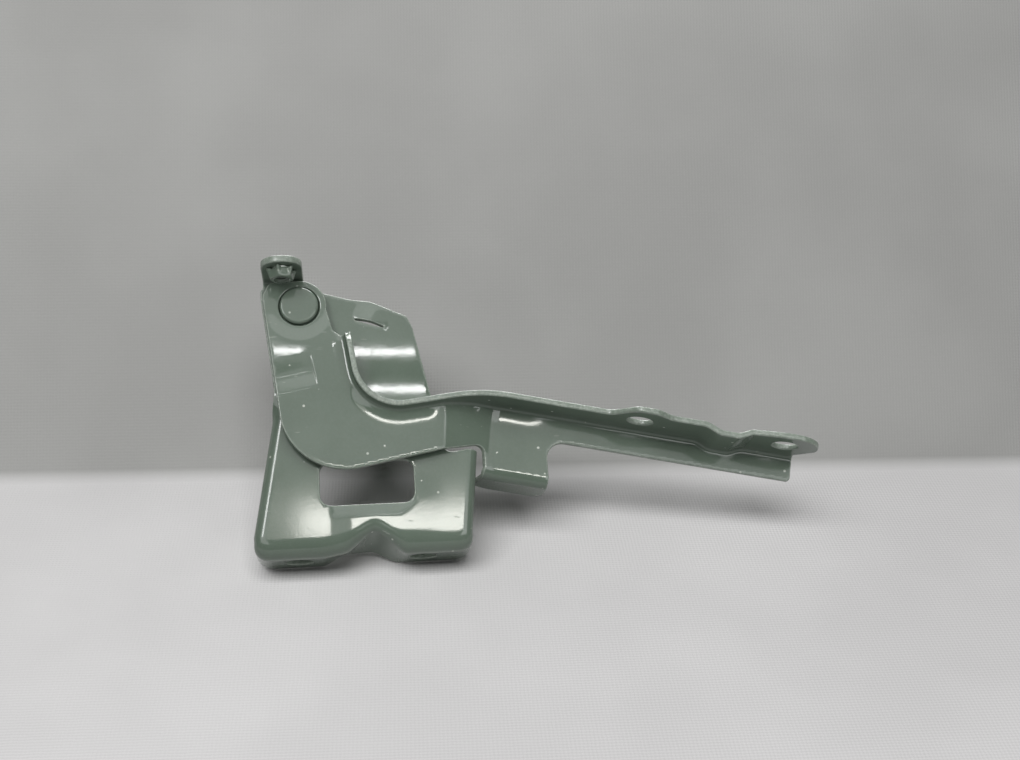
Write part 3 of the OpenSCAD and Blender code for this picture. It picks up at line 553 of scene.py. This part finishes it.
def on_flange(p):
    """Arc length along the path, distance past the bend's start towards the flange, and heading, for points
    of the blank: from the nearest of the three straights and two arcs whose span holds the point."""
    spans = []
    for at, h, low, high in ((rise_top, rise_head, 0, s_neck), (run_foot, run_head, s_run, s_crown),
                             (arm_from, arm_head, s_arm, 1e4)):
        q = p - at
        s = low + q @ way(h)
        spans.append((s, bend_start - q @ way(h - 90), np.full(len(p), h), (s >= low) & (s <= high)))
    q = p - neck_c
    h = (np.degrees(np.arctan2(q[:, 1], q[:, 0])) + 90 + 180) % 360 - 180
    spans.append((s_neck + neck_r * np.radians(h - rise_head),
                  neck_r + bend_start - np.linalg.norm(q, axis=1), h, (h >= rise_head) & (h <= run_head)))
    q = p - crown_c
    h = np.degrees(np.arctan2(q[:, 1], q[:, 0])) - 90
    spans.append((s_crown + crown_r * np.radians(run_head - h),
                  np.linalg.norm(q, axis=1) - (crown_r - bend_start), h, (h <= run_head) & (h >= arm_head)))
    miss = np.stack([np.where(v, np.abs(t), 1e6) for s, t, h, v in spans])
    pick = (miss.argmin(0), np.arange(len(p)))
    t = np.where(miss.min(0) < 1e5, np.stack([x[1] for x in spans])[pick], -50)
    return np.stack([x[0] for x in spans])[pick], t, np.stack([x[2] for x in spans])[pick]


def swage(s):
    """Depth of the groove pressed across the flange between its lobes."""
    return 2.7 * (ease(bolt_a + 26, bolt_a + 35, s) - ease(bolt_a + 41, bolt_a + 49, s))


joggle_x, joggle_run, near_lean, far_lean = 58.0, 22.0, tan(radians(4.6)), tan(radians(9.6))


def joggle(p):
    """How far the web is set back at a point: an even ramp between two leaning lines, with rounded
    bends."""
    h = p[:, 1] - column_top
    x = p[:, 0] - PIVOT[0] - joggle_x - near_lean * h
    run = joggle_run + (far_lean - near_lean) * h
    return web_setback * np.mean([np.clip((x + o) / run, 0, 1) for o in np.linspace(-2, 2, 9)], axis=0)


lobe_reach, lobe_waist, tip_wider = 28.0, 5.0, 3.0


def rim_y(s):
    """Place of the flange's rim across the hinge: it rises at the gooseneck's top, follows the two lobes
    round the bolt holes and narrows between them."""
    run = run_reach + arm_front
    reach = (run + (lobe_reach - run) * ease(bolt_a - 15, bolt_a - 1, s)
             - lobe_waist * ease(bolt_a + 4, bolt_a + 14, s) + tip_wider * ease(bolt_a + 46, bolt_b, s))
    top = web_front - flange_bend - 0.5
    return np.where(s < s_arm, top + (-run_reach - top) * ease(0, 6, s), arm_front - reach)


def flange_z(x):
    """Height of the flange's straight part, carried on along its slope."""
    return crown_corner[1] + tan(radians(arm_head)) * (x - crown_corner[0])


block_left, block_right, block_high, lip_back = PIVOT[0] + 76.8, PIVOT[0] + 76.8 + 27.2, 30.0, 26.0
block_foot = np.array([block_left, flange_z(block_left) - block_high / way(arm_head)[0]])
lip_down = way(arm_head - 90)
lip_bend = bend_start
lip_len = lip_bend * pi / 2 + lip_back - arm_front - lip_bend
lip_mid, lip_half, lip_top = 62.0, 26.0, 40.0


def arm_face(p):
    """The blank bent into the arm: past the bend's start the flange goes round a quarter circle to the
    front, with the swage pushing it into the web, and past the block's foot the lip goes round one to the
    back."""
    s, t, h = on_flange(p)
    out = way(h - 90)
    push = (swage(s) * np.clip(1 + t / 9.0, 0, 1))[:, None] * out
    turn = np.clip(t / flange_bend, 0, pi / 2)
    foot = np.where(t[:, None] > 0, p + t[:, None] * out, p) + push
    flat = foot - np.where(t > 0, flange_bend * np.sin(turn), 0)[:, None] * out
    y = web_front + joggle(foot) - np.where(t > 0, flange_bend * (1 - np.cos(turn))
                                            + np.maximum(0, t - flange_bend * pi / 2), 0)
    down = (p - block_foot) @ lip_down
    lip = (down > 0) & (np.abs(p[:, 0] - lip_mid) < lip_half) & (p[:, 1] < lip_top)
    roll = np.clip(down / lip_bend, 0, pi / 2)
    seat = p - down[:, None] * lip_down
    flat = np.where(lip[:, None], seat + (lip_bend * np.sin(roll))[:, None] * lip_down, flat)
    y = np.where(lip, web_front + joggle(seat) + lip_bend * (1 - np.cos(roll))
                 + np.maximum(0, down - lip_bend * pi / 2), y)
    return np.stack([flat[:, 0], y, flat[:, 1]], -1)


dart_way, dart_tail = way(-79.5), way(-169.5)
dart_at, dart_half, dart_high, boss_deep, boss_soft, block_swell = 29.5, 7.6, 0.5, 1.65, 0.5, 0.4


def arm_relief(p):
    """The boss is dished to the back with long soft sides, the dart is a low tent cut off along a radius,
    and the web swells towards the flange's bend, more round the gooseneck than up its rise, and once more
    over the catch block."""
    q = p - PIVOT
    r = np.linalg.norm(q, axis=1)
    dish = boss_deep * (1 - ease(8.45, 8.95, r)) + boss_soft * (1 - ease(9.5, 16.5, r))
    a, c = q @ dart_way, q @ dart_tail
    ridge = np.maximum(0, 1 - np.sqrt((a - dart_at) ** 2 + 0.4) / dart_half)
    dart = dart_high * ridge * np.clip(1 + c / 0.3, 0, 1)
    s, t, h = on_flange(p)
    wide = 4.5 + 2.0 * ease(14, 26, s)
    shape = np.where(t > 0, 1 - ease(0, 9, t), np.clip(1 + t / wide, 0, 1) ** 2)
    swell = shape * (0.3 + 0.2 * ease(10, 26, s)) * ease(0, 3, s) * ease(s_crown - 2, s_crown - 12, s)
    block = shape * block_swell * ease(s_crown + 8, s_crown + 14, s) * ease(s_arm + 24, s_arm + 8, s)
    return dish + dart - swell - block


s_rim = np.concatenate([np.arange(0, 8, 0.5), np.arange(8, bolt_b + 2.5, 1.0)])
rim_foot = bend_line(s_rim)
rim_out = way(heading(s_rim) - 90)
rim_set = joggle(rim_foot + swage(s_rim)[:, None] * rim_out)
rim_len = flange_bend * pi / 2 + web_front + rim_set - flange_bend - rim_y(s_rim)
rim_line = rim_foot - rim_len[:, None] * rim_out
tip_arc = np.array([2.5, 14.0]) + 12 * way(np.linspace(90, 0, 13))
tip = np.vstack([tip_arc, [14.5, 12], [7.5, 2.6]])
tip_foot = bend_line(bolt_b + tip[:, 0])
tip_line = tip_foot - (flange_bend * pi / 2 + tip[:, 1] - flange_bend)[:, None] * way(arm_head - 90)
web_end = bend_line([bolt_b + 7.5])[0]
web_low = web_end + (13.6 - bend_start) * way(arm_head - 90)
beside_block = web_low + (block_right - web_low[0]) / way(arm_head)[0] * way(arm_head)
heel_c, heel_r, heel_rise, back_lean = PIVOT + [18.5, -45.0], 28.0, 10.5, 6.5
heel = heel_c + heel_r * way(np.arange(270 + heel_rise, 180 + back_lean - 0.1, -3))
notch_z = heel[0][1] + tan(radians(heel_rise)) * (block_left - heel[0][0])
block_low = block_foot + [block_right - block_left, tan(radians(arm_head)) * (block_right - block_left)]
head_arc = PIVOT + 11.7 * way(np.arange(88, -12, -6))
flange_top = bend_line([0.0])[0]
bush_hole_r, bolt_reach = 5.05, 14.5
arm_cuts = [
    cut_line([(*rim_line[0], 0.8)] + sharp(rim_line[1:]) + sharp(tip_line[:-2])
             + [(*tip_line[-2], 3), (*tip_line[-1], 1.2), (*web_end, 1.5), (*web_low, 1.6),
                (*beside_block, 7.5), (*block_low, 0), (*(block_low + lip_len * lip_down), 7.5),
                (*(block_foot + lip_len * lip_down - 4 * way(arm_head)), 2), (*block_foot, 2),
                (block_left, notch_z, 3)]
             + sharp(heel)
             + [(*(PIVOT + [-15.6, 5.0]), 2.5), (*(PIVOT + [-12.6, 11.0]), 3), (*(PIVOT + [-4, 11.4]), 3)]
             + sharp(head_arc)
             + [(*(PIVOT + [14.0, -11.6]), 2.5), (*(flange_top + [-0.6, 0.5]), 1.0),
                (*(flange_top + [0.2, -0.4]), 0.5)]),
    hole(*PIVOT, bush_hole_r, 0.6),
]
bolt_t = flange_bend * pi / 2 + bolt_reach - flange_bend
arm_cuts += [hole(*(bend_line([s])[0] - bolt_t * way(arm_head - 90)), bolt_r) for s in (bolt_a, bolt_b)]
flange_rows = np.concatenate([np.arange(0, 3.4, 0.45), np.arange(4.2, 30, 1.1)])
s_field = np.arange(0.5, bolt_b + 16, 0.95)
flange_out = way(heading(s_field) - 90)
flange_field = bend_line(s_field)[:, None] - flange_rows[None, :, None] * flange_out[:, None]
lip_rows = np.concatenate([np.arange(0, 7.4, 0.6), np.arange(8, 26, 1.1)])
lip_seats = block_foot + np.arange(-6, 29, 0.95)[:, None] * way(arm_head)
lip_field = lip_seats[:, None] + lip_rows[None, :, None] * lip_down
dart_lines = (PIVOT + np.arange(21.4, 37.8, 0.4)[:, None, None] * dart_way
              + np.array([-0.6, -0.3, 0.0, 0.35])[None, :, None] * dart_tail).reshape(-1, 2)
dart_creases = (PIVOT + np.array([21.8, 22.1, 37.0, 37.25])[:, None, None] * dart_way
                + np.arange(0.9, 24, 0.6)[None, :, None] * dart_tail).reshape(-1, 2)
dart_lines = np.vstack([dart_lines, dart_creases])
boss_rings = np.vstack([PIVOT + r * way(np.arange(0, 360, 30 / r))
                        for r in (8.3, 8.55, 8.7, 8.85, 9.1, 9.6)])
web_field = staggered(-45, 206, 5, 122, 1.0)
off_flange = on_flange(web_field)[1] < -0.4
off_lip = ((web_field - block_foot) @ lip_down < -0.4) | (web_field[:, 0] < 46) | (web_field[:, 0] > 90)
off_marks = clear_of(web_field, np.vstack([dart_lines, boss_rings]), 0.45)
web_field = web_field[off_flange & off_lip & off_marks]
arm_field = np.vstack([web_field, boss_rings, flange_field.reshape(-1, 2), lip_field.reshape(-1, 2),
                       dart_lines])
arm_edge = 0.6
arm = pressed_sheet("arm_pressing", arm_cuts, arm_field, arm_face, arm_relief, arm_t, arm_edge,
                    "arm", "bonnet_arm")
arm.data.materials.append(primer)

# Pivot bush: a flanged bearing bush turned in bronze and pressed into the arm's boss from behind.
# It turns with the arm on the rivet's shoulder, and its flange runs on the bracket's plate.
lathe_n = 96
lathe_a = np.linspace(0, 2 * pi, lathe_n, endpoint=False)


def lathed(name, rows, wrap, body, node):
    """A profile of radius and place along the pivot, carried round the pivot's axis."""
    r, y = np.array(rows, float).T
    points = np.stack([PIVOT[0] + r[:, None] * np.sin(lathe_a),
                       np.broadcast_to(y[:, None], (len(y), lathe_n)) - SETBACK,
                       PIVOT[1] + r[:, None] * np.cos(lathe_a)], -1).reshape(-1, 3)
    faces = turned(len(r), lathe_n, wrap)
    if not wrap:
        first, last = np.arange(lathe_n), np.arange(lathe_n) + (len(r) - 1) * lathe_n
        faces += [first[::-1].tolist(), last.tolist()]
    return put(name, points, faces, body, node, rim=np.zeros(len(points)))


boss_back, boss_front = -1.05, -3.55
bush_rows = [(4.05, boss_front + 0.3), (4.05, boss_back + 0.8), (4.2, -0.05), (7.2, -0.05), (7.45, -0.15),
             (7.5, -0.4), (7.45, boss_back + 0.1), (7.3, boss_back), (5.2, boss_back),
             (bush_hole_r, boss_back - 0.15), (bush_hole_r, boss_front + 0.25), (4.85, boss_front),
             (4.25, boss_front)]
bush = lathed("bush_sleeve", bush_rows, True, "arm", "pivot_bush")
bronze, place = finish("bearing_bronze", Metallic=1.0)
rings = place.noise(place, 420.0, 3.0)
rings.spread(0.3, 0.7).mixed(tone(150, 112, 62), tone(192, 152, 92)).drive("Base Color")
(0.25 + 0.3 * rings).drive("Roughness")
bush.data.materials.append(bronze)

# Thrust washer: a bright hardened steel washer, punched and ground flat.
# It lies loose between the rivet's head and the arm's boss and takes the rub of the arm.
head_seat, thrust_t = -4.4, 0.8
thrust_rows = [(4.05, head_seat + 0.1), (4.05, head_seat + 0.7), (4.15, head_seat + thrust_t),
               (7.4, head_seat + thrust_t), (7.5, head_seat + 0.7), (7.5, head_seat + 0.1),
               (7.4, head_seat), (4.15, head_seat)]
thrust = lathed("thrust_ring", thrust_rows, True, "bracket", "thrust_washer")
bright, place = finish("bright_steel", Metallic=1.0)
brushed = place.noise(place, 800.0)
brushed.spread(0.3, 0.7).mixed(tone(165, 167, 170), tone(196, 198, 200)).drive("Base Color")
(0.22 + 0.25 * brushed).drive("Roughness")
thrust.data.materials.append(bright)

# Pivot rivet: one shouldered steel rivet, put in from the front and headed over behind the bracket.
# Its flat head sits in the arm's dished boss with a soft rolled edge, painted over like the rest.
face_y, tail_seat = head_seat - 2.4, 4.2
rivet_rows = [(0.05, face_y), (3.5, face_y), (7.0, face_y), (7.15, face_y), (7.3, face_y + 0.01),
              (7.55, face_y + 0.08), (7.8, face_y + 0.22), (8.0, face_y + 0.42), (8.15, face_y + 0.68),
              (8.25, face_y + 1.0), (8.25, head_seat - 0.5), (8.15, head_seat - 0.1), (7.95, head_seat),
              (4.05, head_seat), (4.0, head_seat + 0.05), (4.0, -0.05), (3.9, 0.0), (3.3, 0.0),
              (rivet_hole_r, 0.05), (rivet_hole_r, tail_seat), (5.3, tail_seat), (5.5, 4.35), (5.5, 5.2),
              (5.4, 5.6), (5.0, 6.1), (4.3, 6.45), (3.0, 6.58), (1.2, 6.6), (0.05, 6.6)]
rivet = lathed("rivet_turning", rivet_rows, False, "bracket", "pivot_rivet")
rivet.data.materials.append(primer)

# Tail washer: a plain punched steel washer behind the bracket, under the rivet's formed tail.
# The tail holds it tight against the plate, and it is painted with the rest.
tail_rows = [(3.3, 3.1), (3.3, 4.1), (3.45, tail_seat), (7.2, tail_seat), (7.4, 4.1), (7.5, 3.9),
             (7.5, 3.1), (7.4, bracket_t), (3.4, bracket_t)]
tail = lathed("tail_ring", tail_rows, True, "bracket", "tail_washer")
tail.data.materials.append(primer)

# Studio: the hinge leans back over a pale cloth that runs along the floor and up a sloping wall behind it.
# The camera stands close in front and looks a little down, and flat soft lamps hang all round.
CAMERA, WIDE, HIGH, FOCAL = np.array([-4.061, -590.834, -105.076]), 1020, 760, 1400.0
SENSOR = 36.0
az, el, roll = radians(-7), radians(-17), radians(4.2)
ahead = np.array([-np.sin(az) * np.cos(el), np.cos(az) * np.cos(el), -np.sin(el)])
level = np.cross(ahead, [0, 0, 1])
level /= np.linalg.norm(level)
plumb = np.cross(level, ahead)
right, above = np.cos(roll) * level - np.sin(roll) * plumb, np.sin(roll) * level + np.cos(roll) * plumb


def aim(thing, at, x, y, z):
    """Puts a camera or lamp at a place with its own three axes."""
    thing.matrix_world = Matrix([[*map(float, row)] for row in np.vstack([
        np.column_stack([x, y, z, np.asarray(at) * MM]), [0, 0, 0, 1]])])


def sight(u, v):
    """The ray through a place in the picture."""
    return (u - WIDE / 2) / FOCAL * right - (v - HIGH / 2) / FOCAL * above + ahead


camera = bpy.data.objects.new("camera", bpy.data.cameras.new("camera"))
camera.data.sensor_width, camera.data.lens = SENSOR, SENSOR * FOCAL / WIDE
camera.data.clip_start, camera.data.clip_end = 0.01, 20
bpy.context.scene.collection.objects.link(camera)
aim(camera, CAMERA, right, above, -ahead)
bpy.context.scene.camera = camera

hinge_lean, wall_lean = radians(46), radians(33)
up = np.array([0, -np.sin(hinge_lean), np.cos(hinge_lean)])
floor_at = up @ np.array([0, flange_depth - SETBACK, 0]) - 0.3


def on_floor(u, v):
    """The point of the floor that shows at a place in the picture."""
    return CAMERA + sight(u, v) * (floor_at - up @ CAMERA) / (up @ sight(u, v))


fold_a, fold_b = on_floor(20, 480), on_floor(1000, 464)
along_fold = (fold_b - fold_a) / np.linalg.norm(fold_b - fold_a)
to_viewer = np.cross(along_fold, up)
to_viewer /= np.linalg.norm(to_viewer) * np.sign(to_viewer @ (CAMERA - fold_a))
# The cloth's side view: the floor, a soft fold of one radius, and the wall.
fold_r, fold_steps = 8.0, 9
soft = np.linspace(0, pi / 2 - wall_lean, fold_steps)
fold_reach = fold_r * tan((pi / 2 - wall_lean) / 2)
wall_way = way(90 + np.degrees(wall_lean))
cloth_side = np.vstack([[1600, 0], [600, 0],
                        np.stack([fold_reach - fold_r * np.sin(soft), fold_r - fold_r * np.cos(soft)], -1),
                        900 * wall_way, 1800 * wall_way])
cloth_x = np.array([-1500.0, 1500.0])
cloth_points = (0.5 * (fold_a + fold_b) + cloth_x[None, :, None] * along_fold
                + cloth_side[:, 0, None, None] * to_viewer + cloth_side[:, 1, None, None] * up).reshape(-1, 3)
row = 2 * np.arange(len(cloth_side) - 1)
cloth_mesh = bpy.data.meshes.new("cloth")
cloth_mesh.from_pydata((cloth_points * MM).tolist(), [],
                       np.stack([row, row + 1, row + 3, row + 2], -1).tolist())
cloth_mesh.polygons.foreach_set("use_smooth", np.ones(len(row), bool))
# The lay of the cloth: the way across it, the way along it, and its share of the wall.
along = np.concatenate([[0], np.cumsum(np.linalg.norm(np.diff(cloth_side, axis=0), axis=1))])
on_wall = np.clip(np.arange(len(cloth_side)) - 2, 0, fold_steps - 1) / (fold_steps - 1)
lay = np.stack([np.tile(cloth_x, len(along)) * MM, np.repeat(along, 2) * MM, np.repeat(on_wall, 2)], -1)
lay_mark = cloth_mesh.attributes.new("lay", "FLOAT_VECTOR", "POINT")
lay_mark.data.foreach_set("vector", lay.astype(np.float32).ravel())
cloth = bpy.data.objects.new("cloth", cloth_mesh)
bpy.context.scene.collection.objects.link(cloth)
linen, place = finish("pale_cloth", Roughness=0.75)
patch = place.noise(place, 9.0, 3.0).spread(0.3, 0.7)
laid = place.make("ShaderNodeAttribute", {"attribute_name": "lay"}, {}, "Vector")
hung = place.make("ShaderNodeSeparateXYZ", {}, {"Vector": laid}, "Z")
floor_tone = patch.mixed(tone(189, 188, 188), tone(197, 196, 196))
# Painted shade: the wall is the same cloth as the floor, painted darker for the lesser light that falls on
# it.
wall_painted_shade = patch.mixed(tone(137, 137, 135), tone(145, 145, 143))
hung.mixed(floor_tone, wall_painted_shade).drive("Base Color")
threads = 0.6 * place.noise(place, 300.0)
for direction in "XY":
    threads = threads + place.make("ShaderNodeTexWave", {"bands_direction": direction},
                                   {"Vector": laid, "Scale": 210.0, "Distortion": 1.5})
bump = {"Strength": 0.15, "Distance": 0.0005, "Height": threads}
place.make("ShaderNodeBump", {}, bump).drive("Normal")
# Seen from behind the cloth is clear, so that the hinge shows from every side.
behind = place.make("ShaderNodeNewGeometry", out="Backfacing")
clear = place.make("ShaderNodeBsdfTransparent")
woven = Shade(linen.node_tree, linen.node_tree.nodes["Principled BSDF"].outputs[0])
one_sided = place.make("ShaderNodeMixShader", {}, {0: behind, 1: woven, 2: clear})
linen.node_tree.links.new(one_sided.socket, linen.node_tree.nodes["Material Output"].inputs["Surface"])
cloth.data.materials.append(linen)

hinge, backdrop = (bpy.data.collections.new(name) for name in ("hinge_pieces", "backdrop"))
for piece in (bracket, nut, arm, bush, thrust, rivet, tail):
    hinge.objects.link(piece)
backdrop.objects.link(cloth)


def flat_lamp(name, at, x, z, wide, high, power, lit, tint=(1, 1, 1)):
    """A flat rectangular lamp, unseen itself, that lights only the pieces of one collection."""
    light = bpy.data.lights.new(name, "AREA")
    light.shape, light.size, light.size_y = "RECTANGLE", float(wide), float(high)
    light.energy, light.color = float(power), tint
    lamp = bpy.data.objects.new(name, light)
    lamp.visible_camera = False
    lamp.light_linking.receiver_collection = lit
    bpy.context.scene.collection.objects.link(lamp)
    aim(lamp, at, x, np.cross(z, x), z)
    return lamp


lamp_far = 1520.0


def lamp_seen(name, u0, v0, u1, v1, mirror_y, glow, tint=(1, 1, 1)):
    """A lamp placed where an upright face of the hinge mirrors it between two corners of the picture: the
    camera is turned over at the face and its rays are followed to one distance. Its power is its brightness
    by its area."""
    over = np.array([1, -1, 1])
    eye = CAMERA * over + [0, 2 * mirror_y, 0]
    corners = ((u0, v0), (u1, v0), (u0, v1), (u1, v1))
    a, b, c, d = (eye + lamp_far * sight(u, v) * over for u, v in corners)
    wide, high = np.linalg.norm(b - a) * MM, np.linalg.norm(a - c) * MM
    x, y = (b - a) / np.linalg.norm(b - a), (a - c) / np.linalg.norm(a - c)
    flat_lamp(name, (a + b + c + d) / 4, x, np.cross(x, y), wide, high, glow * pi * wide * high, hinge, tint)


plate_y, web_y = -SETBACK, web_front - SETBACK
tube_glow, ceiling_glow, daylight = 34, 1.15, (1, 0.99, 0.93)
lamp_seen("tube_left", 240, 348.6, 302, 353.0, web_y, tube_glow)
lamp_seen("tube_right", 345, 349.4, 417, 354.6, plate_y, tube_glow)
lamp_seen("tube_low", 370, 386.4, 427, 391.4, plate_y, tube_glow)
lamp_seen("window_low", 300, 506, 565, 540, plate_y, 22, daylight)
lamp_seen("window_soft", 258, 488, 490, 546, plate_y, 2.5, daylight)
lamp_seen("ceiling_left", -600, -150, 369, 472, web_y, ceiling_glow)
lamp_seen("ceiling_high", 369, -150, 1250, 346, plate_y, ceiling_glow)
lamp_seen("ceiling_low", 369, 394, 1250, 490, plate_y, ceiling_glow)
lamp_seen("front_left", -600, 490, 250, 900, plate_y, 2.1)
lamp_seen("front_right", 560, 490, 1250, 900, plate_y, 3.0)
lamp_seen("side", 980, 150, 1180, 700, plate_y, 4)
middle = np.array([60.0, -10.0, 60.0])


def soft_box(name, rise, near, across, wide, high, power, lit):
    """A lamp aimed at the hinge's middle from a place given by its height over it, its distance towards the
    camera and its distance along the fold."""
    at = middle + rise * up + near * to_viewer + across * along_fold
    z = (at - middle) / np.linalg.norm(at - middle)
    x = np.cross(along_fold, z)
    x = np.cross(z, x) / np.linalg.norm(x)
    return flat_lamp(name, at, x, z, wide * MM, high * MM, power, lit)


soft_box("ceiling", 1400, 50, -250, 1100, 900, 3.8, hinge)
soft_box("key", 1108, 545, -550, 350, 350, 4.5, hinge)
soft_box("cloth_sky", 1250, 750, -250, 1300, 700, 31.0, backdrop)
rear = soft_box("rear", 700, -1100, 0, 1000, 700, 28.0, hinge)
rear.light_linking.blocker_collection = hinge
# The room is dim, but pale where the camera looks past the cloth.
world = bpy.data.worlds.new("room")
bpy.context.scene.world = world
world.use_nodes = True
room = world.node_tree.nodes["Background"]
room.inputs["Color"].default_value = (0.75, 0.77, 0.78, 1)
looked_at = Shade(world.node_tree).make("ShaderNodeLightPath", out="Is Camera Ray")
world.node_tree.links.new((0.05 + 0.5 * looked_at).socket, room.inputs["Strength"])
bpy.context.scene.view_settings.view_transform = "Standard"
